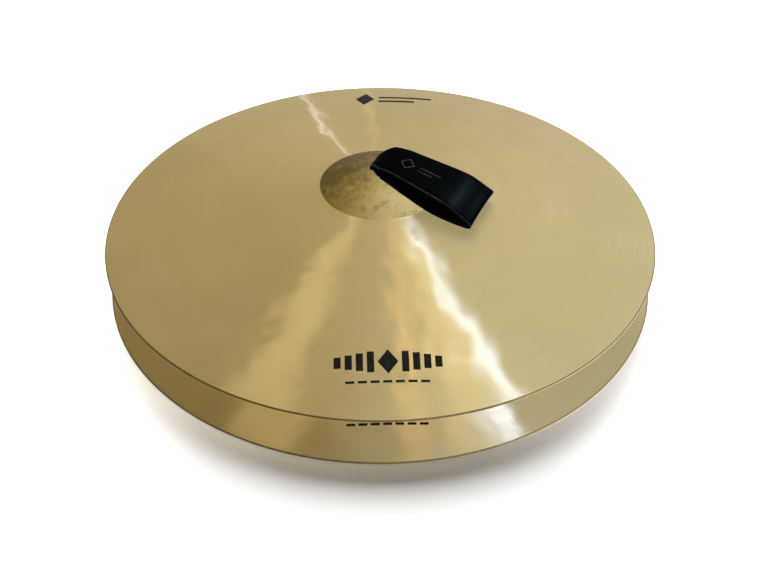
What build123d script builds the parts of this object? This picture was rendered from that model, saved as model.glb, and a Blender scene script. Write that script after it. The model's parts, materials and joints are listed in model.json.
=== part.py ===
from build123d import *

import os
from math import asin, cos, hypot, radians, sin

# A pair of 18 inch orchestral hand cymbals, stacked bell up, one above the other on one vertical axis.
# Each has a leather hand strap: a folded loop lying on the bell, and four tails cut from the strap's
# ends that go down through the centre hole and are tied in a crown knot inside the bell.
# Millimetres, +Z up. The origin is on the axis, in the plane that the lower cymbal's rim rests on.

# Driving dimensions of a cymbal, heights counted from its own rim plane
CYMBAL_DIAMETER = 457.2
STACK_PITCH = 43.0
BOW_RISE = 42.0
BOW_TURN = 8.0
BELL_RADIUS = 49.5
BELL_RISE = 15.0
BELL_FOOT_FILLET = 6.0
RIM_THICKNESS = 1.1
BELL_THICKNESS = 1.9
RIM_LAND = 1.2
RIM_ROUNDING = 0.4
HOLE_DIAMETER = 12.0

# Driving dimensions of a strap, heights counted from the top of its own cymbal's rim
STRAP_DIRECTION = -24.0
LEATHER = 2.8
NECK_WIDTH = 15.0
SHOULDER_WIDTH = 34.0
FOLD_WIDTH = 53.0
SHOULDER_START = 1.5
SHOULDER_END = 7.0
LOOP_REACH = 91.0
FLEX_HEIGHT = 65.0
FLEX_RADIUS = 4.3

# Driving dimensions of a tail
TAIL_WIDTH = 3.5
TAIL_THICKNESS = 3.2
TAIL_SPACING = 4.0

RIM_RADIUS = CYMBAL_DIAMETER / 2
HOLE_RADIUS = HOLE_DIAMETER / 2
BELL_TOP = BOW_RISE + BELL_RISE
BELL_SPHERE = (BELL_RADIUS**2 + BELL_RISE**2) / (2 * BELL_RISE)


def arc_radius(start, end, turn):
    """Radius of the arc from start to end that turns through the given angle in degrees."""
    chord = hypot(end[0] - start[0], end[1] - start[1])
    return chord / (2 * sin(radians(turn / 2)))


def sphere_height(radius, sphere, top):
    """Height, at a distance from the axis, of a sphere whose highest point is at top."""
    return top - sphere + sphere * cos(asin(radius / sphere))


def side_plane(rim_height, direction=0.0):
    """Upright plane through the axis: local x runs outwards along direction, local y runs up."""
    turn = radians(direction)
    return Plane(
        origin=(0, 0, rim_height),
        x_dir=(cos(turn), sin(turn), 0),
        z_dir=(sin(turn), -cos(turn), 0),
    )


def build_cymbal(name, rim_height):
    """One bronze plate: a bow that bends down towards the rim, and a domed bell with a centre hole."""
    outside_top = RIM_THICKNESS + BELL_TOP
    inside_top = outside_top - BELL_THICKNESS
    inside_sphere = BELL_SPHERE - BELL_THICKNESS
    inside_foot_radius = BELL_RADIUS * inside_sphere / BELL_SPHERE
    rim_top = (RIM_RADIUS, RIM_THICKNESS)
    rim_bottom = (RIM_RADIUS, 0)
    land_edge = (RIM_RADIUS - RIM_LAND, 0)
    bell_foot = (BELL_RADIUS, RIM_THICKNESS + BOW_RISE)
    inside_foot = (
        inside_foot_radius,
        sphere_height(inside_foot_radius, inside_sphere, inside_top),
    )
    hole_top = (HOLE_RADIUS, sphere_height(HOLE_RADIUS, BELL_SPHERE, outside_top))
    hole_bottom = (HOLE_RADIUS, sphere_height(HOLE_RADIUS, inside_sphere, inside_top))
    with BuildPart() as cymbal:
        with BuildSketch(side_plane(rim_height)) as section:
            with BuildLine():
                RadiusArc(rim_top, bell_foot, -arc_radius(rim_top, bell_foot, BOW_TURN))
                RadiusArc(bell_foot, hole_top, -BELL_SPHERE)
                Line(hole_top, hole_bottom)
                RadiusArc(hole_bottom, inside_foot, inside_sphere)
                RadiusArc(inside_foot, land_edge, arc_radius(inside_foot, land_edge, BOW_TURN))
                Line(land_edge, rim_bottom)
                Line(rim_bottom, rim_top)
            make_face()
            foot_corners = [
                section.vertices().sort_by_distance((*foot, 0))[0]
                for foot in (bell_foot, inside_foot)
            ]
            fillet(foot_corners, radius=BELL_FOOT_FILLET)
            fillet(section.vertices().sort_by_distance((*rim_top, 0))[0], radius=RIM_ROUNDING)
        revolve(axis=Axis.Z)
    cymbal.part.label = name
    export_step(cymbal.part, f"parts/{name}.step")
    return cymbal.part


def build_strap_loop(name, rim_top_height):
    """The folded band that the hand goes through, as it lies over the bell and the start of the bow."""
    flex_point = (0, FLEX_HEIGHT)
    side = side_plane(rim_top_height, STRAP_DIRECTION)
    plan = Plane(origin=(0, 0, rim_top_height), x_dir=side.x_dir, z_dir=(0, 0, 1))
    neck_top = (3.2, 70.6)
    neck_bottom = (6.0, 61.9)
    fold_top = (LOOP_REACH - 4.6, 49.8)
    fold_tip = (LOOP_REACH, 45.6)
    fold_bottom = (LOOP_REACH - 5.6, 41.6)
    pinch = (10.0, 65.4)
    inner_fold_top = (LOOP_REACH - 5.8, 47.2)
    inner_fold_tip = (LOOP_REACH - LEATHER, 45.7)
    inner_fold_bottom = (LOOP_REACH - 6.0, 44.4)
    with BuildPart() as loop:
        with BuildSketch(side):
            with BuildLine():
                Spline(neck_top, (20, 69.4), (48, 62.6), fold_top)
                ThreePointArc(fold_top, fold_tip, fold_bottom)
                Spline(fold_bottom, (62, 42.4), (40, 50.0), (22, 57.2), neck_bottom)
                Line(neck_bottom, neck_top)
            make_face()
            with BuildLine():
                Spline(pinch, (20, 66.5), (47.2, 59.9), inner_fold_top)
                ThreePointArc(inner_fold_top, inner_fold_tip, inner_fold_bottom)
                Spline(inner_fold_bottom, (62, 45.2), (41, 52.6), (23, 59.8), pinch)
            make_face(mode=Mode.SUBTRACT)
            with Locations(flex_point):
                Circle(FLEX_RADIUS, mode=Mode.SUBTRACT)
        extrude(amount=FOLD_WIDTH / 2, both=True)
        with BuildSketch(plan):
            with BuildLine() as edge:
                Polyline(
                    (0, 0),
                    (0, NECK_WIDTH / 2),
                    (SHOULDER_START, NECK_WIDTH / 2),
                    (SHOULDER_END, SHOULDER_WIDTH / 2),
                    (LOOP_REACH, FOLD_WIDTH / 2),
                    (LOOP_REACH + LEATHER, FOLD_WIDTH / 2),
                    (LOOP_REACH + LEATHER, 0),
                )
                mirror(edge.line, about=Plane.XZ)
            make_face()
        extrude(amount=2 * FLEX_HEIGHT, mode=Mode.INTERSECT)
    loop.part.label = name
    export_step(loop.part, f"parts/{name}.step")
    return loop.part


def tail_points(rim_top_height, start_angle):
    """Way of one tail: down through the hole, out, round below its neighbour, in and down again."""
    below_bell = BELL_TOP - BELL_THICKNESS
    hole_way = TAIL_SPACING / 2**0.5
    # each row: distance from the axis, degrees travelled round it, height above the top of the rim
    way = [
        (hole_way, 0, FLEX_HEIGHT),
        (hole_way, 0, below_bell + 3),
        (hole_way + 0.6, 0, below_bell - 2),
        (8, 4, below_bell - 5.4),
        (13, 22, below_bell - 6.4),
        (15.5, 52, below_bell - 8.2),
        (13.5, 86, below_bell - 11.2),
        (8.5, 116, below_bell - 13.6),
        (5, 146, below_bell - 17),
        (4.6, 160, below_bell - 24),
    ]
    return [
        (
            radius * cos(radians(start_angle + travelled)),
            radius * sin(radians(start_angle + travelled)),
            rim_top_height + height,
        )
        for radius, travelled, height in way
    ]


def build_tail(name, rim_top_height, start_angle):
    """One of the four tails: through the hole and tucked into the crown knot, with mitred bends."""
    with BuildPart() as tail:
        with BuildLine() as way:
            Polyline(*tail_points(rim_top_height, start_angle))
        top = Plane(
            origin=way.line @ 0,
            x_dir=(cos(radians(start_angle + 45)), sin(radians(start_angle + 45)), 0),
            z_dir=(0, 0, -1),
        )
        with BuildSketch(top):
            Rectangle(TAIL_WIDTH, TAIL_THICKNESS)
        sweep(path=way.line, transition=Transition.RIGHT)
    tail.part.label = name
    export_step(tail.part, f"parts/{name}.step")
    return tail.part


os.makedirs("parts", exist_ok=True)

TAIL_NAMES = ("front_tail", "right_tail", "rear_tail", "left_tail")
for place, rim_height in (("lower", 0.0), ("upper", STACK_PITCH)):
    build_cymbal(f"{place}_cymbal", rim_height)
    rim_top_height = rim_height + RIM_THICKNESS
    build_strap_loop(f"{place}_strap_loop", rim_top_height)
    for index, tail_name in enumerate(TAIL_NAMES):
        build_tail(f"{place}_{tail_name}", rim_top_height, STRAP_DIRECTION - 45 + 90 * index)
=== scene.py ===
import json
import math

import bpy
import numpy as np
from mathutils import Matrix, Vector


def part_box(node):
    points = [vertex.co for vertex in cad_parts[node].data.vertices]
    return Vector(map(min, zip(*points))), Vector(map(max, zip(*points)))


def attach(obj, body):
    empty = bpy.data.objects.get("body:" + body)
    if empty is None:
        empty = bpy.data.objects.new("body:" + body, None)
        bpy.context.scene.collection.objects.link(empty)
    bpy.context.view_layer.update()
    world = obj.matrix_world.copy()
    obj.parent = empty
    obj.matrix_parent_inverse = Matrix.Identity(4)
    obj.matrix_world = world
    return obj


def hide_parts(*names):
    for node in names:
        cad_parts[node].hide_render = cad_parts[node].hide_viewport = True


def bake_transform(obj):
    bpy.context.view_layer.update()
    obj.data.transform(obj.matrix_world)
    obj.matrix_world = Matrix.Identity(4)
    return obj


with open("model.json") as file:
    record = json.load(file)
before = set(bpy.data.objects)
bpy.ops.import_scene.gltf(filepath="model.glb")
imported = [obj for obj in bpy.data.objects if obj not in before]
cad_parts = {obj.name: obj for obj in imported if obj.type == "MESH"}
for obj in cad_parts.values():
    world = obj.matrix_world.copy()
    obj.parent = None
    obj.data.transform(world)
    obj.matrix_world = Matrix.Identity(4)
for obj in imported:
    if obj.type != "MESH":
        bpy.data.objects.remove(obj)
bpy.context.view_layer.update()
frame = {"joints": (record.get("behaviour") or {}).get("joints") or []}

MM = 0.001
TAU = 2 * math.pi

# ---------------------------------------------------------------------------
# Sizes, from the frame wherever it holds them
# ---------------------------------------------------------------------------
PLACES = ("lower", "upper")
joints = {joint["name"]: joint for joint in frame["joints"]}
RIM_BASE = {place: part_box(f"{place}_cymbal")[0].z for place in PLACES}
RIM_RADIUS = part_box("lower_cymbal")[1].x
RIM_THICKNESS = 1.1 * MM
RIM_LAND = 1.2 * MM
RIM_ROUND = 0.35 * MM
BOW_RISE = 42 * MM
BOW_TURN = math.radians(8)
BELL_RADIUS = 49.5 * MM
BELL_RISE = 15 * MM
BELL_THICKNESS = 1.9 * MM
BELL_TOP = BOW_RISE + BELL_RISE
BELL_SPHERE = (BELL_RADIUS**2 + BELL_RISE**2) / (2 * BELL_RISE)
FOOT_BLEND = 0.6 * MM
HOLE_RADIUS = 6 * MM
PLATE_SPOKES = 540

flex = joints["upper_loop_flex"]
ACROSS = np.array([-flex["axis"][0], -flex["axis"][1], 0.0])
ALONG = np.array([ACROSS[1], -ACROSS[0], 0.0])
UP = np.array([0.0, 0.0, 1.0])
STRAP_ANGLE = math.atan2(ALONG[1], ALONG[0])

LEATHER = 2.8 * MM
NECK_HALF = 7.5 * MM
SHOULDER_HALF = 17 * MM
FOLD_HALF = 26.5 * MM
TAIL_SPACING = 4  # millimetres, like the way of a tail
TAIL_ROWS = 90
CURVE_STEPS = 40

FILM_LIFT = 0.07 * MM
PATCH_CELL = 2.0  # millimetres, like the outlines it divides

BOW_ROUGHNESS = 0.12
BOW_METALLIC = 0.81  # the rest takes soft shadows
HAMMER_SEED = {"lower": 40, "upper": 41}
HAMMER_WAVES = [(22, 70)] * 26 + [(10, 22)] * 14  # shortest and longest wave in millimetres
HAMMER_SIZE = 0.020 * MM  # height of a wave as long as HAMMER_LENGTH
HAMMER_LENGTH = 40 * MM
HAMMER_FADE = 20 * MM  # width of the band by the rim, and by the hole, in which it dies away

# ---------------------------------------------------------------------------
# Light, floor and camera
# ---------------------------------------------------------------------------
DARK_SIDE = 0.247
BRIGHT_SIDE = 0.60
DARK_SIDE_TINT = (1.0, 0.91, 0.66, 1)
BRIGHT_SIDE_TINT = (0.98, 1.10, 1.36, 1)
FILL = 0.22
BACKDROP = 1.0
KEY_SIZE = 2.4
KEY_POWER = 200
KEY_BEHIND = 1.9
KEY_HEIGHT = 2.5
SHEEN_SIZE = 0.25
SHEEN_POWER = 25
SHEEN_DISTANCE = 1.6
SHEEN_COLOUR = (0.65, 0.92, 1.0)
SHEEN_TARGET = Vector((0.06, -0.03, 0.10))
SHEEN_TOWARDS = Vector((0.545, 0.532, 0.647))
FLOOR_HALF = 6.0
FLOOR_GAP = 0.4 * MM
FAR_GLOW = (0.35, 1.6)  # distance from the axis where it starts, and where it is full
NEAR_GLOW = (-0.26, -0.12)  # the same for its place along y
NEAR_GLOW_STRENGTH = 0.55
LENS = 56.7
CAMERA_ELEVATION = math.radians(39.245)
CAMERA_BACK = 813.2 * MM
CAMERA_ABOVE_RIM = 603.6 * MM
CAMERA_SIDE = 0.67 * MM
TO_CAMERA = np.array([0.0, -0.775, 0.632])  # near enough, and only for placing the streak boxes
BOX_DISTANCE = 2.6
BOX_ROWS = 15
BOX_COLUMNS = 7


# ---------------------------------------------------------------------------
# Mesh helpers
# ---------------------------------------------------------------------------
def new_mesh(name, points, faces, materials, face_slots=None):
    """A smooth-shaded mesh object from points in metres and index tuples."""
    mesh = bpy.data.meshes.new(name)
    mesh.from_pydata([tuple(point) for point in points], [], faces)
    for material in materials:
        mesh.materials.append(material)
    if face_slots is not None:
        mesh.polygons.foreach_set("material_index", face_slots)
    mesh.polygons.foreach_set("use_smooth", [True] * len(mesh.polygons))
    mesh.update()
    piece = bpy.data.objects.new(name, mesh)
    bpy.context.scene.collection.objects.link(piece)
    return piece


def grid_faces(rows, columns, wrap_rows=False, wrap_columns=False):
    """Quads between neighbouring rows and columns of a grid of points, numbered row by row."""
    row_count = rows if wrap_rows else rows - 1
    column_count = columns if wrap_columns else columns - 1
    faces = []
    for row in range(row_count):
        below = row * columns
        above = (row + 1) % rows * columns
        for column in range(column_count):
            right = (column + 1) % columns
            faces.append((below + column, below + right, above + right, above + column))
    return faces


def patch_grid(corners):
    """Places in millimetres all over a four-cornered outline, and how many rows and columns they make."""
    first, second, third, fourth = np.array(corners, dtype=float)
    wide = max(np.linalg.norm(second - first), np.linalg.norm(third - fourth))
    tall = max(np.linalg.norm(fourth - first), np.linalg.norm(third - second))
    rows = 1 + math.ceil(wide / PATCH_CELL)
    columns = 1 + math.ceil(tall / PATCH_CELL)
    s = np.linspace(0, 1, rows)[:, None, None]
    t = np.linspace(0, 1, columns)[None, :, None]
    near = first * (1 - s) + second * s
    far = fourth * (1 - s) + third * s
    return (near * (1 - t) + far * t).reshape(-1, 2), rows, columns


def facing_up(points, faces):
    """The same faces, turned over where they would face down."""
    turned = []
    for a, b, c, d in faces:
        normal = np.cross(points[c] - points[a], points[d] - points[b])
        turned.append((a, b, c, d) if normal[2] >= 0 else (d, c, b, a))
    return turned


def film_mesh(name, outlines, place_at, material):
    """A thin film made of patches, each laid down by place_at from millimetres to a point in space."""
    points, faces = [], []
    for outline in outlines:
        places, rows, columns = patch_grid(outline)
        start = len(points)
        points.extend(place_at(x, y) for x, y in places)
        patch = grid_faces(rows, columns)
        faces.extend(tuple(start + index for index in face) for face in patch)
    film = new_mesh(name, points, facing_up(points, faces), [material])
    film.visible_glossy = False
    return film


def smooth_curve(points, samples):
    """Points evenly spaced along a Catmull-Rom curve through the given rows of numbers."""
    points = np.array(points, float)
    first = 2 * points[0] - points[1]
    last = 2 * points[-1] - points[-2]
    padded = np.vstack([first, points, last])
    fine = []
    for index in range(len(points) - 1):
        a, b, c, d = padded[index : index + 4]
        for t in np.linspace(0, 1, CURVE_STEPS, endpoint=False):
            linear = (c - a) * t
            square = (2 * a - 5 * b + 4 * c - d) * t**2
            cube = (3 * b - a - 3 * c + d) * t**3
            fine.append(b + (linear + square + cube) / 2)
    fine.append(points[-1])
    fine = np.array(fine)
    steps = np.linalg.norm(np.diff(fine, axis=0), axis=1)
    length = np.concatenate([[0], np.cumsum(steps)])
    wanted = np.linspace(0, length[-1], samples)
    return np.column_stack(
        [np.interp(wanted, length, fine[:, column]) for column in range(points.shape[1])]
    )


def unit_tangents(path):
    tangent = np.gradient(path, axis=0)
    return tangent / np.linalg.norm(tangent, axis=1)[:, None]


# ---------------------------------------------------------------------------
# Material helpers
# ---------------------------------------------------------------------------
class Nodes:
    """Short names for the shader nodes that a material or the world is built from."""

    def __init__(self, owner, output="ShaderNodeOutputMaterial"):
        self.owner = owner
        owner.use_nodes = True
        self.tree = owner.node_tree
        self.tree.nodes.clear()
        self.output = self.tree.nodes.new(output)

    def link(self, value, socket):
        if isinstance(value, bpy.types.NodeSocket):
            self.tree.links.new(value, socket)
        else:
            socket.default_value = value

    def math(self, operation, *values):
        node = self.tree.nodes.new("ShaderNodeMath")
        node.operation = operation
        for value, socket in zip(values, node.inputs):
            self.link(value, socket)
        return node.outputs[0]

    def position(self):
        return self.tree.nodes.new("ShaderNodeTexCoord").outputs["Object"]

    def direction(self):
        return self.tree.nodes.new("ShaderNodeTexCoord").outputs["Generated"]

    def split(self, vector):
        node = self.tree.nodes.new("ShaderNodeSeparateXYZ")
        self.link(vector, node.inputs[0])
        return node.outputs

    def join(self, x, y, z):
        node = self.tree.nodes.new("ShaderNodeCombineXYZ")
        for value, socket in zip((x, y, z), node.inputs):
            self.link(value, socket)
        return node.outputs[0]

    def noise(self, vector, scale, detail=2.0, roughness=0.5, distortion=0.0):
        node = self.tree.nodes.new("ShaderNodeTexNoise")
        self.link(vector, node.inputs["Vector"])
        node.inputs["Scale"].default_value = scale
        node.inputs["Detail"].default_value = detail
        node.inputs["Roughness"].default_value = roughness
        node.inputs["Distortion"].default_value = distortion
        return node.outputs["Fac"]

    def voronoi(self, vector, scale):
        node = self.tree.nodes.new("ShaderNodeTexVoronoi")
        self.link(vector, node.inputs["Vector"])
        node.inputs["Scale"].default_value = scale
        return node.outputs["Distance"]

    def distance(self, x, y):
        return self.math("SQRT", self.math("ADD", self.math("MULTIPLY", x, x), self.math("MULTIPLY", y, y)))

    def slope(self, value, low, high, bottom=0.0, top=1.0, kind="LINEAR"):
        """A straight way from bottom to top as value goes from low to high, level beyond them."""
        node = self.tree.nodes.new("ShaderNodeMapRange")
        node.interpolation_type = kind
        self.link(value, node.inputs["Value"])
        node.inputs["From Min"].default_value = low
        node.inputs["From Max"].default_value = high
        node.inputs["To Min"].default_value = bottom
        node.inputs["To Max"].default_value = top
        return node.outputs[0]

    def ramp(self, value, low, high, bottom=0.0, top=1.0):
        """A smooth step from bottom to top as value goes from low to high."""
        return self.slope(value, low, high, bottom, top, "SMOOTHSTEP")

    def mix(self, share, first, second):
        node = self.tree.nodes.new("ShaderNodeMix")
        node.data_type = "RGBA"
        self.link(share, node.inputs[0])
        self.link(first, node.inputs[6])
        self.link(second, node.inputs[7])
        return node.outputs[2]

    def bump(self, height, distance, strength=1.0, normal=None):
        node = self.tree.nodes.new("ShaderNodeBump")
        self.link(height, node.inputs["Height"])
        node.inputs["Distance"].default_value = distance
        node.inputs["Strength"].default_value = strength
        if normal is not None:
            self.link(normal, node.inputs["Normal"])
        return node.outputs[0]

    def glow(self, kind, colour, strength):
        """An emission or background shader."""
        node = self.tree.nodes.new(kind)
        self.link(colour, node.inputs["Color"])
        self.link(strength, node.inputs["Strength"])
        return node.outputs[0]

    def mix_shader(self, share, first, second):
        node = self.tree.nodes.new("ShaderNodeMixShader")
        for value, socket in zip((share, first, second), node.inputs):
            self.link(value, socket)
        return node.outputs[0]

    def show(self, shader):
        self.tree.links.new(shader, self.output.inputs[0])
        return self.owner

    def finish(self, **inputs):
        shader = self.tree.nodes.new("ShaderNodeBsdfPrincipled")
        for name, value in inputs.items():
            self.link(value, shader.inputs[name.replace("_", " ")])
        return self.show(shader.outputs[0])


def material_nodes(name):
    return Nodes(bpy.data.materials.new(name))


# ---------------------------------------------------------------------------
# Materials
# ---------------------------------------------------------------------------
def bow_colour(n, position, radius, inside):
    """Polished gold with fine lathe rings and faint clouds, duller inside."""
    ring = n.join(radius, 0.0, 0.0)
    broad_rings = n.ramp(n.noise(ring, 60, 4, 0.6), 0.35, 0.65)
    narrow_rings = n.ramp(n.noise(ring, 480, 4, 0.7), 0.35, 0.65, 0.0, 0.16)
    clouds = n.ramp(n.noise(position, 9, 3, 0.55), 0.40, 0.70, 0.0, 0.7)
    gold = n.mix(broad_rings, (0.80, 0.615, 0.270, 1), (0.83, 0.645, 0.292, 1))
    gold = n.mix(clouds, gold, (0.73, 0.57, 0.235, 1))
    gold = n.mix(narrow_rings, gold, (0.60, 0.45, 0.18, 1))
    if inside:
        gold = n.mix(0.35, gold, (0.52, 0.36, 0.17, 1))
    return gold


def bell_colour(n, position, mottle, pits):
    """Raw bronze: mottled and pitted, with brown patina and painted shade towards the rear left, and
    brighter gold painted towards the front right as painted light.
    """
    x, y, _ = n.split(position)
    patches = n.noise(position, 48, 6, 0.66, 0.4)
    # painted light: grows towards the front right, the side painted brighter as if lit
    painted_light_side = n.math("MULTIPLY_ADD", x, 8.0, n.math("MULTIPLY_ADD", y, -9.0, patches))
    # brown patina and painted shade: grows towards the rear left
    patina_and_painted_shade_side = n.math("MULTIPLY_ADD", x, -5.0, n.math("MULTIPLY_ADD", y, 7.0, patches))
    blotches = n.ramp(n.noise(position, 95, 6, 0.72, 0.3), 0.50, 0.72, 0.0, 0.55)
    raw = n.mix(n.ramp(mottle, 0.38, 0.62), (0.46, 0.32, 0.085, 1), (0.86, 0.635, 0.205, 1))
    # painted light: brighter gold on the front right of the bell
    raw = n.mix(n.ramp(painted_light_side, 0.25, 0.85, 0.0, 0.95), raw, (0.98, 0.73, 0.27, 1))
    raw = n.mix(blotches, raw, (0.26, 0.15, 0.055, 1))
    # brown patina, with painted shade, on the rear left of the bell
    raw = n.mix(n.ramp(patina_and_painted_shade_side, 0.42, 0.80, 0.0, 0.80), raw, (0.34, 0.235, 0.085, 1))
    return n.mix(n.math("MULTIPLY", pits, 0.8), raw, (0.11, 0.055, 0.02, 1))


def bronze_material(name, inside=False):
    """Bell bronze: a polished, finely lathed bow and a raw, mottled bell with a sharp edge between."""
    n = material_nodes(name)
    position = n.position()
    x, y, _ = n.split(position)
    radius = n.distance(x, y)
    wobble = n.math("MULTIPLY", n.math("SUBTRACT", n.noise(position, 90, 3), 0.5), 0.0012)
    on_bow = n.ramp(n.math("ADD", radius, wobble), BELL_RADIUS - 0.0004, BELL_RADIUS + 0.0002)
    on_bell = n.math("SUBTRACT", 1.0, on_bow)

    fine_rings = n.noise(n.join(radius, 0.0, 0.0), 900, 5, 0.75)
    mottle = n.noise(position, 190, 7, 0.70, 0.4)
    pits = n.ramp(n.voronoi(position, 430), 0.0, 0.24, 1.0, 0.0)
    pits = n.math("MULTIPLY", pits, n.ramp(n.noise(position, 170, 2), 0.50, 0.60))

    raw = bell_colour(n, position, mottle, pits)
    gold = bow_colour(n, position, radius, inside)
    rough_bow = n.math("MULTIPLY_ADD", fine_rings, 0.16 if inside else 0.06, BOW_ROUGHNESS)
    rough_bell = n.math("MULTIPLY_ADD", mottle, 0.20, 0.40)
    roughness = n.math("MULTIPLY_ADD", rough_bow, on_bow, n.math("MULTIPLY", rough_bell, on_bell))
    lathe = n.math("MULTIPLY", fine_rings, on_bow)
    grain = n.math("MULTIPLY", n.math("MULTIPLY_ADD", pits, -0.6, mottle), on_bell)
    tangent = n.tree.nodes.new("ShaderNodeTangent")
    tangent.direction_type = "RADIAL"
    tangent.axis = "Z"
    return n.finish(
        Base_Color=n.mix(on_bow, raw, gold),
        Metallic=n.math("MULTIPLY_ADD", on_bell, 1 - BOW_METALLIC, BOW_METALLIC),
        Specular_IOR_Level=0.3,
        Roughness=roughness,
        Anisotropic=on_bow,
        Anisotropic_Rotation=0.25,
        Tangent=tangent.outputs[0],
        Normal=n.bump(grain, 0.0006, 0.6, n.bump(lathe, 0.00003)),
    )


def rim_material():
    """The sawn and dressed edge of the plate, darker than the bow: partly its duller raw bronze, partly
    painted shade for the dark its upright face mirrors.
    """
    n = material_nodes("bronze_rim_edge")
    position = n.position()
    stain = n.noise(position, 140, 4, 0.6)
    # painted shade: both colours are darker than the bow's gold, for the dark the upright edge mirrors; the
    # stain noise varies between them
    colour = n.mix(stain, (0.20, 0.13, 0.055, 1), (0.44, 0.31, 0.14, 1))
    return n.finish(
        Base_Color=colour,
        Metallic=1.0,
        Roughness=n.math("MULTIPLY_ADD", stain, 0.25, 0.30),
        Normal=n.bump(stain, 0.0001),
    )


def leather_material():
    """Smooth black strap leather: fine grain, faint creases and a soft bluish sheen."""
    n = material_nodes("black_strap_leather")
    position = n.position()
    grain = n.voronoi(position, 1500)
    fine = n.noise(position, 900, 4, 0.6)
    crease = n.noise(position, 60, 5, 0.6, 0.8)
    creased = n.ramp(crease, 0.35, 0.7)
    colour = n.mix(creased, (0.0003, 0.0003, 0.0004, 1), (0.0008, 0.0008, 0.0010, 1))
    roughness = n.math("MULTIPLY_ADD", crease, 0.08, n.math("MULTIPLY_ADD", fine, 0.10, 0.22))
    normal = n.bump(grain, 0.00008, 0.5)
    normal = n.bump(crease, 0.0005, 0.35, normal)
    return n.finish(
        Base_Color=colour,
        Roughness=roughness,
        Specular_IOR_Level=0.005,
        Specular_Tint=(0.75, 0.95, 1.0, 1),
        Normal=normal,
    )


def edge_material():
    """The cut and burnished edge of the leather, a little greyer and fibrous."""
    n = material_nodes("leather_cut_edge")
    position = n.position()
    fibre = n.noise(position, 1100, 5, 0.7)
    colour = n.mix(fibre, (0.0015, 0.0016, 0.0017, 1), (0.007, 0.0078, 0.008, 1))
    return n.finish(
        Base_Color=colour,
        Roughness=n.math("MULTIPLY_ADD", fibre, 0.2, 0.5),
        Specular_IOR_Level=0.02,
        Normal=n.bump(fibre, 0.0002, 0.5),
    )


def corner_material():
    """The corner between the leather's grain side and its cut edge, a thin paler line: wear, and a painted
    highlight along the arris.
    """
    n = material_nodes("leather_corner_wear_and_painted_highlight")
    wear = n.noise(n.position(), 120, 4, 0.6)
    # painted highlight and wear: the paler grey-green along the arris
    colour = n.mix(n.ramp(wear, 0.35, 0.65), (0.012, 0.016, 0.015, 1), (0.055, 0.070, 0.064, 1))
    return n.finish(Base_Color=colour, Roughness=0.5, Specular_IOR_Level=0.03)


def flesh_material():
    """The inner, flesh side of the leather: black dyed, matt and slightly napped."""
    n = material_nodes("leather_flesh_side")
    position = n.position()
    nap = n.noise(position, 1600, 6, 0.75)
    colour = n.mix(nap, (0.0012, 0.0013, 0.0014, 1), (0.004, 0.0042, 0.0042, 1))
    return n.finish(
        Base_Color=colour,
        Roughness=0.82,
        Specular_IOR_Level=0.01,
        Normal=n.bump(nap, 0.0003, 0.6),
    )


def ink_material():
    """Black ink printed on the bow, slightly worn so the bronze shows through in specks."""
    n = material_nodes("printed_ink")
    position = n.position()
    wear = n.ramp(n.noise(position, 1300, 4, 0.7), 0.60, 0.72)
    colour = n.mix(wear, (0.006, 0.005, 0.004, 1), (0.35, 0.27, 0.13, 1))
    return n.finish(
        Base_Color=colour,
        Roughness=0.5,
        Specular_IOR_Level=0.12,
        Metallic=n.math("MULTIPLY", wear, 0.9),
    )


def foil_material():
    """Worn gold foil pressed into the strap."""
    n = material_nodes("worn_gold_foil")
    position = n.position()
    wear = n.ramp(n.noise(position, 700, 4, 0.7), 0.44, 0.60)
    colour = n.mix(wear, (0.060, 0.047, 0.020, 1), (0.006, 0.006, 0.005, 1))
    return n.finish(Base_Color=colour, Metallic=0.6, Roughness=0.42)


# ---------------------------------------------------------------------------
# Cymbals
# ---------------------------------------------------------------------------
def bow_arc():
    """Centre and radius of the arc that the bow's outside follows, from the rim to the bell's foot."""
    rim = np.array([RIM_RADIUS, 0.0])
    foot = np.array([BELL_RADIUS, BOW_RISE])
    chord = np.linalg.norm(foot - rim)
    radius = chord / (2 * math.sin(BOW_TURN / 2))
    along = (foot - rim) / chord
    inward = np.array([-along[1], along[0]])
    if inward[1] > 0:
        inward = -inward
    centre = (rim + foot) / 2 + inward * math.sqrt(radius**2 - (chord / 2) ** 2)
    return centre, radius


BOW_CENTRE, BOW_RADIUS = bow_arc()


def outside_height(radius):
    """Height of the plate's outside over the top of its rim, at a distance from the axis."""
    radius = np.asarray(radius, float)
    bow = BOW_CENTRE[1] + np.sqrt(BOW_RADIUS**2 - (radius - BOW_CENTRE[0]) ** 2)
    under_root = np.maximum(BELL_SPHERE**2 - radius**2, 0)
    bell = BELL_TOP - BELL_SPHERE + np.sqrt(under_root)
    share = np.clip(0.5 + 0.5 * (bell - bow) / FOOT_BLEND, 0, 1)
    return bow + (bell - bow) * share + FOOT_BLEND * share * (1 - share)


def outside_slope(radius):
    """Rise of the outside over each metre outwards."""
    step = 0.05 * MM
    return (outside_height(radius + step) - outside_height(radius - step)) / (2 * step)


def plate_thickness(radius):
    """Thickness of the plate, thinner towards the rim."""
    share = np.clip((radius - BELL_RADIUS) / (RIM_RADIUS - BELL_RADIUS), 0, 1)
    return BELL_THICKNESS + (RIM_THICKNESS - BELL_THICKNESS) * share


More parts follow.
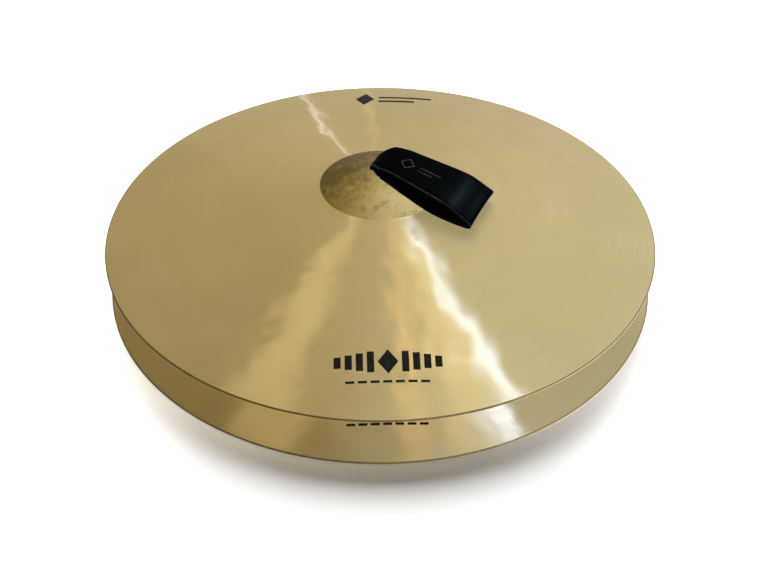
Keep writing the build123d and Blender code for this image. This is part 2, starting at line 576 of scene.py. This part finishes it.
def hammering(x, y, place):
    """A gentle unevenness left by hammering, the same on both faces of the plate."""
    random = np.random.default_rng(HAMMER_SEED[place])
    total = np.zeros_like(x)
    for shortest, longest in HAMMER_WAVES:
        wavelength = random.uniform(shortest, longest) * MM
        direction = random.uniform(0, TAU)
        phase = random.uniform(0, TAU)
        size = HAMMER_SIZE * (wavelength / HAMMER_LENGTH) ** 1.2
        along = x * math.cos(direction) + y * math.sin(direction)
        total += size * np.sin(TAU * along / wavelength + phase)
    radius = np.hypot(x, y)
    near_rim = np.clip((RIM_RADIUS - radius) / HAMMER_FADE, 0, 1)
    near_hole = np.clip((radius - HOLE_RADIUS) / HAMMER_FADE, 0, 1)
    return total * near_rim * near_hole


def plate_profile():
    """The plate's outline as rows of (radius, height over its base), and the material of each row."""
    stations = np.concatenate(
        [
            np.linspace(HOLE_RADIUS + 0.3 * MM, BELL_RADIUS - 2.6 * MM, 34),
            np.linspace(BELL_RADIUS - 2.5 * MM, BELL_RADIUS + 2.5 * MM, 16),
            np.linspace(BELL_RADIUS + 2.9 * MM, RIM_RADIUS - 1.6 * MM, 110),
            [RIM_RADIUS - RIM_LAND, RIM_RADIUS - 0.8 * MM],
        ]
    )
    top = outside_height(stations) + RIM_THICKNESS
    lean = np.sqrt(1 + outside_slope(stations) ** 2)
    bottom = np.maximum(top - plate_thickness(stations) * lean, 0)
    bottom[-2:] = 0
    rim = [
        (RIM_RADIUS - RIM_ROUND, RIM_THICKNESS + 0.10 * MM),
        (RIM_RADIUS - RIM_ROUND * 0.3, RIM_THICKNESS - RIM_ROUND * 0.25),
        (RIM_RADIUS, RIM_THICKNESS - RIM_ROUND),
        (RIM_RADIUS, 0.2 * MM),
        (RIM_RADIUS - 0.15 * MM, 0.0),
    ]
    hole = [
        (HOLE_RADIUS + 0.05 * MM, bottom[0] + 0.08 * MM),
        (HOLE_RADIUS, bottom[0] + 0.35 * MM),
        (HOLE_RADIUS, top[0] - 0.35 * MM),
        (HOLE_RADIUS + 0.05 * MM, top[0] - 0.08 * MM),
    ]
    outside = list(zip(stations, top))
    inside = list(zip(stations[::-1], bottom[::-1]))
    spans = len(stations) - 1
    row_slots = [0] * spans + [2] * (len(rim) + 1) + [1] * spans + [2] * (len(hole) + 1)
    return np.array(outside + rim + inside + hole), row_slots


def build_cymbal(place):
    """The bronze plate as a fine revolved mesh, following the CAD plate's own outline."""
    profile, row_slots = plate_profile()
    turns = np.arange(PLATE_SPOKES) * TAU / PLATE_SPOKES
    radius = profile[:, :1]
    x = radius * np.cos(turns)
    y = radius * np.sin(turns)
    z = profile[:, 1:] + hammering(x, y, place) + RIM_BASE[place]
    points = np.column_stack([x.ravel(), y.ravel(), z.ravel()])
    faces = grid_faces(len(profile), PLATE_SPOKES, wrap_rows=True, wrap_columns=True)
    faces = [face[::-1] for face in faces]
    slots = np.repeat(row_slots, PLATE_SPOKES).tolist()
    materials = [bronze_outside, bronze_inside, bronze_edge]
    piece = new_mesh(f"{place}_cymbal_plate", points, faces, materials, slots)
    piece.visible_glossy = False
    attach(piece, f"{place}_cymbal")
    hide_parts(f"{place}_cymbal")
    return piece


# ---------------------------------------------------------------------------
# Printed marks, plain shapes only
# ---------------------------------------------------------------------------
def lie_on_bow(name, outlines, place, turn, radius, material, to_right=1):
    """A printed mark on the bow, from outlines in millimetres.

    Local y runs outwards from the axis. Local x runs along the rim, to the right for someone in
    front of the pair when to_right is 1 on the front half and -1 on the rear half."""
    base = RIM_BASE[place] + RIM_THICKNESS + FILM_LIFT
    outward = np.array([math.cos(turn), math.sin(turn)])
    sideways = np.array([-outward[1], outward[0]]) * to_right

    def place_at(x, y):
        flat = outward * (radius + y * MM) + sideways * x * MM
        height = outside_height(np.hypot(*flat)) + hammering(flat[0], flat[1], place)
        return np.array([flat[0], flat[1], base + float(height)])

    piece = film_mesh(name, outlines, place_at, material)
    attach(piece, f"{place}_cymbal")
    return piece


def bar(x0, x1, y0, y1):
    """A four-cornered bar between two places along the rim."""
    return [(x0, y0), (x1, y0), (x1, y1), (x0, y1)]


def diamond_half(x, y, half_width, half_height, side):
    """One half of a diamond, so that two make a whole one."""
    return [
        (x, y - half_height),
        (x + side * half_width, y),
        (x + side * half_width, y),
        (x, y + half_height),
    ]


def front_mark_shapes():
    """A broad ornament of bars either side of a diamond, and a thin broken rule outside it."""
    shapes = []
    for side in (-1, 1):
        shapes.append(diamond_half(0, 0, 7.5, 10, side))
        for index in range(4):
            inner = side * (10 + 8 * index)
            outer = inner + side * 5.2
            tall = 8.5 - 1.3 * index
            shapes.append(bar(inner, outer, -tall, tall))
    for index in range(7):
        start = -31 + 9 * index
        shapes.append(bar(start, start + 6.5, 15.2, 17.2))
    return shapes


def rear_mark_shapes():
    """A tall diamond and two rules beside it."""
    shapes = []
    for side in (-1, 1):
        shapes.append(diamond_half(-24, 0, 9, 18, side))
    for length, y in ((50, 3), (34, -9)):
        shapes.append(bar(-11, -11 + length, y, y + 5))
    return shapes


# ---------------------------------------------------------------------------
# Straps
# ---------------------------------------------------------------------------
BAND_STRIPS = 14
BAND_ROWS = 210
# materials round the band's section: grain side, worn corner with a painted highlight, cut edge, flesh
# side, and back up
BAND_SLOTS = [0] * BAND_STRIPS + [3] * 2 + [1] * 3 + [2] * BAND_STRIPS + [1] * 3 + [3] * 2


def to_row(u, v, z):
    """A point from along the strap, across it and up, to the row frame."""
    return ALONG * u + ACROSS * v + UP * z


def band_path():
    """Middle of the band's thickness, from one side of the hole, round the loop, back to the other side."""
    return [
        (-2.1, 54.5),
        (-2.3, 57.6),
        (-4.2, 60.3),
        (-4.1, 63.0),
        (-1.6, 65.6),
        (2.4, 67.6),
        (8, 68.6),
        (20, 68.0),
        (34, 65.0),
        (48, 61.3),
        (62, 57.4),
        (70, 54.8),
        (76, 51.7),
        (82, 48.1),
        (86, 45.9),
        (88.2, 44.4),
        (87.2, 43.1),
        (84, 42.5),
        (78, 42.3),
        (70, 42.6),
        (62, 43.5),
        (54, 45.0),
        (46, 47.4),
        (38, 50.4),
        (30, 53.4),
        (22, 56.1),
        (14.5, 58.9),
        (8.6, 60.9),
        (4.2, 61.9),
        (0.4, 60.9),
        (1.0, 58.1),
        (1.9, 54.5),
    ]


def half_width_at(u, height):
    """Half the band's width: narrow in the hole, a chamfered shoulder, then widening to the fold."""
    wide = np.interp(u, [-5 * MM, 6 * MM, 91 * MM], [NECK_HALF, SHOULDER_HALF, FOLD_HALF])
    in_hole = np.interp(
        height,
        [57 * MM, 58.6 * MM, 60.4 * MM, 62.0 * MM],
        [3.9 * MM, 4.4 * MM, 10.0 * MM, SHOULDER_HALF],
    )
    if u < 7 * MM and height < 62.4 * MM:
        return float(min(wide, in_hole))
    return float(wide)


def band_section(half_width):
    """Outline of the band's cross-section: across its width and through its thickness."""
    round_off = 0.55 * MM
    half = LEATHER / 2
    across = np.linspace(-1, 1, BAND_STRIPS + 1) * (half_width - round_off)
    grain_side = [(a, half) for a in across]
    near = [
        (half_width - 0.16 * MM, half - 0.16 * MM),
        (half_width, half - round_off),
        (half_width, -half + round_off),
        (half_width - 0.16 * MM, -half + 0.16 * MM),
    ]
    flesh_side = [(a, -half) for a in across[::-1]]
    far = [(-a, b) for a, b in near[::-1]]
    return grain_side + near + flesh_side + far


def band_course():
    """Middle line of the band as rows of (along, height), and the direction out of its grain side."""
    path = smooth_curve(np.array(band_path()) * MM, BAND_ROWS)
    tangent = unit_tangents(path)
    normal = np.column_stack([-tangent[:, 1], tangent[:, 0]])
    return path, normal


def droop(u, across, on_top):
    """How far the band's edges hang and wave, which grows away from the neck."""
    share = across / FOLD_HALF
    hang = np.clip((u - 8 * MM) / (20 * MM), 0, 1) * (1.3 if on_top else 1.6)
    wave = 0.35 * math.sin(u * 95 + share * 2.1) * np.clip(u / (30 * MM), 0, 1)
    return MM * (wave * share - hang * share**2)


def build_band(place):
    """The strap's loop: one folded band of leather, bending where it leaves the hole."""
    base = RIM_BASE[place] + RIM_THICKNESS
    path, normal = band_course()
    fold_row = int(np.argmax(path[:, 0]))
    points = []
    for row, (u, height) in enumerate(path):
        for across, through in band_section(half_width_at(u, height)):
            along = u + normal[row, 0] * through
            up = height + normal[row, 1] * through + droop(u, across, row <= fold_row)
            points.append(to_row(along, across, up + base))
    columns = len(band_section(FOLD_HALF))
    faces = grid_faces(len(path), columns, wrap_columns=True)
    slots = BAND_SLOTS * (len(path) - 1) + [1, 1]
    last = (len(path) - 1) * columns
    faces.append(tuple(range(columns)))
    faces.append(tuple(range(last + columns - 1, last - 1, -1)))
    materials = [leather, cut_edge, flesh_side, corner_wear_and_highlight]
    piece = new_mesh(f"{place}_hand_strap", points, faces, materials, slots)
    piece.visible_glossy = False
    bpy.context.view_layer.update()
    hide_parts(f"{place}_strap_loop")
    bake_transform(piece)
    return piece


def emblem_shapes():
    """A hollow diamond with two rules, along and across the band in millimetres."""
    shapes = [bar(34, 52, 1.0, 2.0), bar(34, 46, -3.5, -2.7)]
    for side in (-1, 1):
        for flip in (-1, 1):
            inner_tip = (24 + 4.6 * side, 0)
            outer_tip = (24 + 6 * side, 0)
            shapes.append([(24, 7 * flip), (24, 5.6 * flip), inner_tip, outer_tip])
    return shapes


def build_strap_emblem(place):
    """A stamp of plain shapes in worn foil, on the grain side of the band."""
    base = RIM_BASE[place] + RIM_THICKNESS
    path, normal = band_course()
    rows = slice(int(np.argmax(path[:, 1])), int(np.argmax(path[:, 0])))
    along = path[rows, 0]
    lift = LEATHER / 2 + FILM_LIFT

    def place_at(x, y):
        u, v = x * MM, y * MM
        height = np.interp(u, along, path[rows, 1])
        out_u = np.interp(u, along, normal[rows, 0])
        out_z = np.interp(u, along, normal[rows, 1])
        up = height + out_z * lift + droop(u, v, True)
        return to_row(u + out_u * lift, v, up + base)

    piece = film_mesh(f"{place}_strap_emblem", emblem_shapes(), place_at, foil)
    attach(piece, f"{place}_loop")
    return piece


def tail_way(start_angle):
    """Middle line of one tail, from inside the hole down, in nearly the lay of the CAD tails."""
    below = (BELL_TOP - BELL_THICKNESS) / MM
    hole_way = TAIL_SPACING / math.sqrt(2)
    way = [
        (hole_way, 0, below + 2.2),
        (hole_way, 0, below),
        (hole_way + 0.7, 0, below - 2.6),
        (8, 4, below - 5.4),
        (13, 22, below - 6.4),
        (15.5, 52, below - 8.2),
        (13.5, 86, below - 11.2),
        (8.5, 116, below - 13.6),
        (5, 146, below - 17),
        (4.6, 160, below - 24),
    ]
    rows = []
    for radius, travelled, height in way:
        angle = start_angle + math.radians(travelled)
        rows.append((radius * math.cos(angle), radius * math.sin(angle), height))
    return np.array(rows) * MM


def tail_section():
    """Outline of a tail's cross-section, a flat thong with rounded corners."""
    half_wide, half_thick, corner = 2.0 * MM, 1.45 * MM, 0.5 * MM
    outline = []
    for sign_x, sign_y, first in ((1, 1, 0), (-1, 1, 90), (-1, -1, 180), (1, -1, 270)):
        for step in range(4):
            angle = math.radians(first + 30 * step)
            outline.append(
                (
                    sign_x * (half_wide - corner) + corner * math.cos(angle),
                    sign_y * (half_thick - corner) + corner * math.sin(angle),
                )
            )
    return outline


def build_tail(place, name, start_angle):
    """One of the four tails of the strap, tucked into the knot inside the bell."""
    base = RIM_BASE[place] + RIM_THICKNESS
    path = smooth_curve(tail_way(start_angle), TAIL_ROWS)
    tangent = unit_tangents(path)
    side = np.array([math.cos(start_angle + math.pi / 4), math.sin(start_angle + math.pi / 4), 0])
    outline = tail_section()
    points = []
    for row, centre in enumerate(path):
        side = side - tangent[row] * (side @ tangent[row])
        side /= np.linalg.norm(side)
        other = np.cross(tangent[row], side)
        for a, b in outline:
            points.append(centre + side * a + other * b + UP * base)
    columns = len(outline)
    faces = grid_faces(len(path), columns, wrap_columns=True)
    faces.append(tuple(range(columns - 1, -1, -1)))
    last = (len(path) - 1) * columns
    faces.append(tuple(range(last, last + columns)))
    slots = [0] * (len(faces) - 2) + [1, 1]
    piece = new_mesh(f"{place}_{name}_thong", points, faces, [leather, cut_edge], slots)
    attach(piece, f"{place}_knot")
    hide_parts(f"{place}_{name}")
    return piece


# ---------------------------------------------------------------------------
# Build
# ---------------------------------------------------------------------------
bronze_outside = bronze_material("bronze_outside")
bronze_inside = bronze_material("bronze_inside", inside=True)
bronze_edge = rim_material()
leather = leather_material()
cut_edge = edge_material()
flesh_side = flesh_material()
corner_wear_and_highlight = corner_material()
ink = ink_material()
foil = foil_material()

TAIL_NAMES = ("front_tail", "right_tail", "rear_tail", "left_tail")
FRONT_MARK_TURN = math.radians(-88.2)
FRONT_MARK_RADIUS = 182 * MM
REAR_MARK_TURN = math.radians(87.1)
REAR_MARK_RADIUS = 184 * MM


def build_marks(place):
    front = (FRONT_MARK_TURN, FRONT_MARK_RADIUS, ink)
    rear = (REAR_MARK_TURN, REAR_MARK_RADIUS, ink)
    lie_on_bow(f"{place}_front_mark", front_mark_shapes(), place, *front)
    lie_on_bow(f"{place}_rear_mark", rear_mark_shapes(), place, *rear, to_right=-1)


straps = []
for place in PLACES:
    build_cymbal(place)
    straps.append(build_band(place))
    build_strap_emblem(place)
    for index, tail_name in enumerate(TAIL_NAMES):
        build_tail(place, tail_name, STRAP_ANGLE + math.radians(-45 + 90 * index))
    build_marks(place)


# ---------------------------------------------------------------------------
# Floor, light and camera
# ---------------------------------------------------------------------------
def build_floor():
    """A plain pale studio floor that glows a little except in front, and fully far away."""
    corners = [(-1, -1), (1, -1), (1, 1), (-1, 1)]
    points = [(x * FLOOR_HALF, y * FLOOR_HALF, 0) for x, y in corners]
    floor = new_mesh("floor", points, [(0, 1, 2, 3)], [])
    floor.location.z = -FLOOR_GAP
    n = material_nodes("studio_floor")
    x, y, _ = n.split(n.position())
    # painted light: the floor glows beside and behind the pair, which lifts its shadow there, and glows to
    # full white far away
    far = n.ramp(n.distance(x, y), *FAR_GLOW)
    behind_front = n.ramp(y, *NEAR_GLOW, 0.0, NEAR_GLOW_STRENGTH)
    pale = n.finish(
        Base_Color=(0.94, 0.94, 0.94, 1),
        Roughness=0.9,
        Specular_IOR_Level=0.1,
        Emission_Color=(1, 1, 1, 1),
        Emission_Strength=n.math("MAXIMUM", behind_front, far),
    )
    floor.data.materials.append(pale)
    floor.visible_glossy = False


def build_world():
    """A studio all round: white to the camera, brighter to the right than to the left in the bronze.

    The difference between the sides is greater in the mirror of the front than of the rear."""
    world = bpy.data.worlds.new("studio")
    bpy.context.scene.world = world
    world.cycles.sampling_method = "NONE"
    n = Nodes(world, "ShaderNodeOutputWorld")
    x, y, _ = n.split(n.direction())
    spread = n.math("MULTIPLY_ADD", y, -1.27, 1.83)
    behind = n.math("MULTIPLY_ADD", y, -0.18, 0.076)
    side = n.slope(n.math("MULTIPLY_ADD", x, spread, behind), -0.35, 0.35)
    strength = n.slope(side, 0.0, 1.0, DARK_SIDE, BRIGHT_SIDE)
    tint = n.mix(side, DARK_SIDE_TINT, BRIGHT_SIDE_TINT)
    mirrored = n.glow("ShaderNodeBackground", tint, strength)
    fill = n.glow("ShaderNodeBackground", (0.8, 0.8, 0.8, 1), FILL)
    backdrop = n.glow("ShaderNodeBackground", (1, 1, 1, 1), BACKDROP)
    path = n.tree.nodes.new("ShaderNodeLightPath")
    lit = n.mix_shader(path.outputs["Is Diffuse Ray"], mirrored, fill)
    n.show(n.mix_shader(path.outputs["Is Camera Ray"], lit, backdrop))


def streak_turns(turns, tilt, bend, rim_bend):
    """The turns of one row of a streak box, in degrees, for the tilt that the row is seen at."""
    near_bell = np.clip((12.4 - tilt) / 3, 0, 1.4)
    near_rim = np.clip((tilt - 12.5) / 4, 0, 3)
    middle = np.mean(turns)
    across = (np.linspace(*turns, BOX_COLUMNS) - middle) * (1 - 0.45 * near_bell)
    return middle + across + bend * near_bell + rim_bend * near_rim


def streak_box(name, turns, tilts, strength, colour, bend=0.0, rim_bend=0.0):
    """A curved soft box that the bronze shows to the camera as a streak.

    turns and tilts, in degrees, are the range of mirror directions that show it: turn is counted
    from the front towards the right, tilt from upright towards the front. bend turns the streak
    further by that many degrees where it meets the bell, rim_bend where it meets the rim."""
    points = []
    for tilt in np.linspace(*tilts, BOX_ROWS):
        level, raised = math.sin(math.radians(tilt)), math.cos(math.radians(tilt))
        for turn in np.radians(streak_turns(turns, tilt, bend, rim_bend)):
            mirror = np.array([math.sin(turn) * level, -math.cos(turn) * level, raised])
            points.append((2 * (TO_CAMERA @ mirror) * mirror - TO_CAMERA) * BOX_DISTANCE)
    n = material_nodes(name)
    glowing = n.show(n.glow("ShaderNodeEmission", (*colour, 1), strength))
    glowing.cycles.emission_sampling = "NONE"
    box = new_mesh(name, points, grid_faces(BOX_ROWS, BOX_COLUMNS), [glowing])
    box.visible_camera = False
    box.visible_diffuse = False
    box.visible_shadow = False


def area_light(name, size, power, colour=(1, 1, 1)):
    """A square soft box, not placed yet."""
    data = bpy.data.lights.new(name, "AREA")
    data.shape = "SQUARE"
    data.size = size
    data.energy = power
    data.color = colour
    light = bpy.data.objects.new(name, data)
    bpy.context.scene.collection.objects.link(light)
    return light


def floor_light():
    """A broad soft box behind and above, which draws the soft shadow in front of the rims."""
    light = area_light("floor_light", KEY_SIZE, KEY_POWER)
    light.location = (0, KEY_BEHIND, KEY_HEIGHT)
    light.rotation_euler = (-math.atan2(KEY_BEHIND, KEY_HEIGHT), 0, 0)
    light.visible_glossy = False


def strap_sheen_light(straps):
    """A small cool box, up behind on the right, that only the straps receive, for their sheen."""
    light = area_light("strap_sheen", SHEEN_SIZE, SHEEN_POWER, SHEEN_COLOUR)
    light.location = SHEEN_TARGET + SHEEN_TOWARDS * SHEEN_DISTANCE
    light.rotation_euler = SHEEN_TOWARDS.to_track_quat("Z", "Y").to_euler()
    receivers = bpy.data.collections.new("strap_sheen_receivers")
    for strap in straps:
        receivers.objects.link(strap)
    light.light_linking.receiver_collection = receivers


def build_lights(straps):
    streak_box("right_streak", (25.3, 27.2), (2, 26), 13.8, (0.29, 0.41, 1.0), 8, 1.4)
    streak_box("right_glow", (13.5, 24.5), (6, 24), 0.95, (1.0, 1.0, 0.9), 5, 1.2)
    streak_box("middle_streak", (7.0, 10.0), (6, 24), 1.35, (1.0, 0.80, 0.66), 9)
    streak_box("left_fan", (-36, -20), (4, 26), 0.60, (1.0, 0.94, 0.76), -5)
    streak_box("rear_right_streak", (30, 33), (-22, -7), 3.2, (0.55, 0.6, 1.0))
    streak_box("rear_middle_streak", (4, 8), (-20, -12), 0.9, (1.0, 0.86, 0.72))
    streak_box("rim_glint", (28, 80), (76, 104), 5.0, (1.0, 1.0, 0.95))
    strap_sheen_light(straps)
    floor_light()


def build_camera():
    """The camera looks down at the pair from the front."""
    data = bpy.data.cameras.new("camera")
    data.lens = LENS
    camera = bpy.data.objects.new("camera", data)
    bpy.context.scene.collection.objects.link(camera)
    height = RIM_BASE["upper"] + RIM_THICKNESS + CAMERA_ABOVE_RIM
    camera.location = (CAMERA_SIDE, -CAMERA_BACK, height)
    camera.rotation_euler = (math.pi / 2 - CAMERA_ELEVATION, 0, 0)
    bpy.context.scene.camera = camera


build_floor()
build_world()
build_lights(straps)
build_camera()
bpy.context.scene.view_settings.view_transform = "Standard"
bpy.context.scene.view_settings.look = "None"
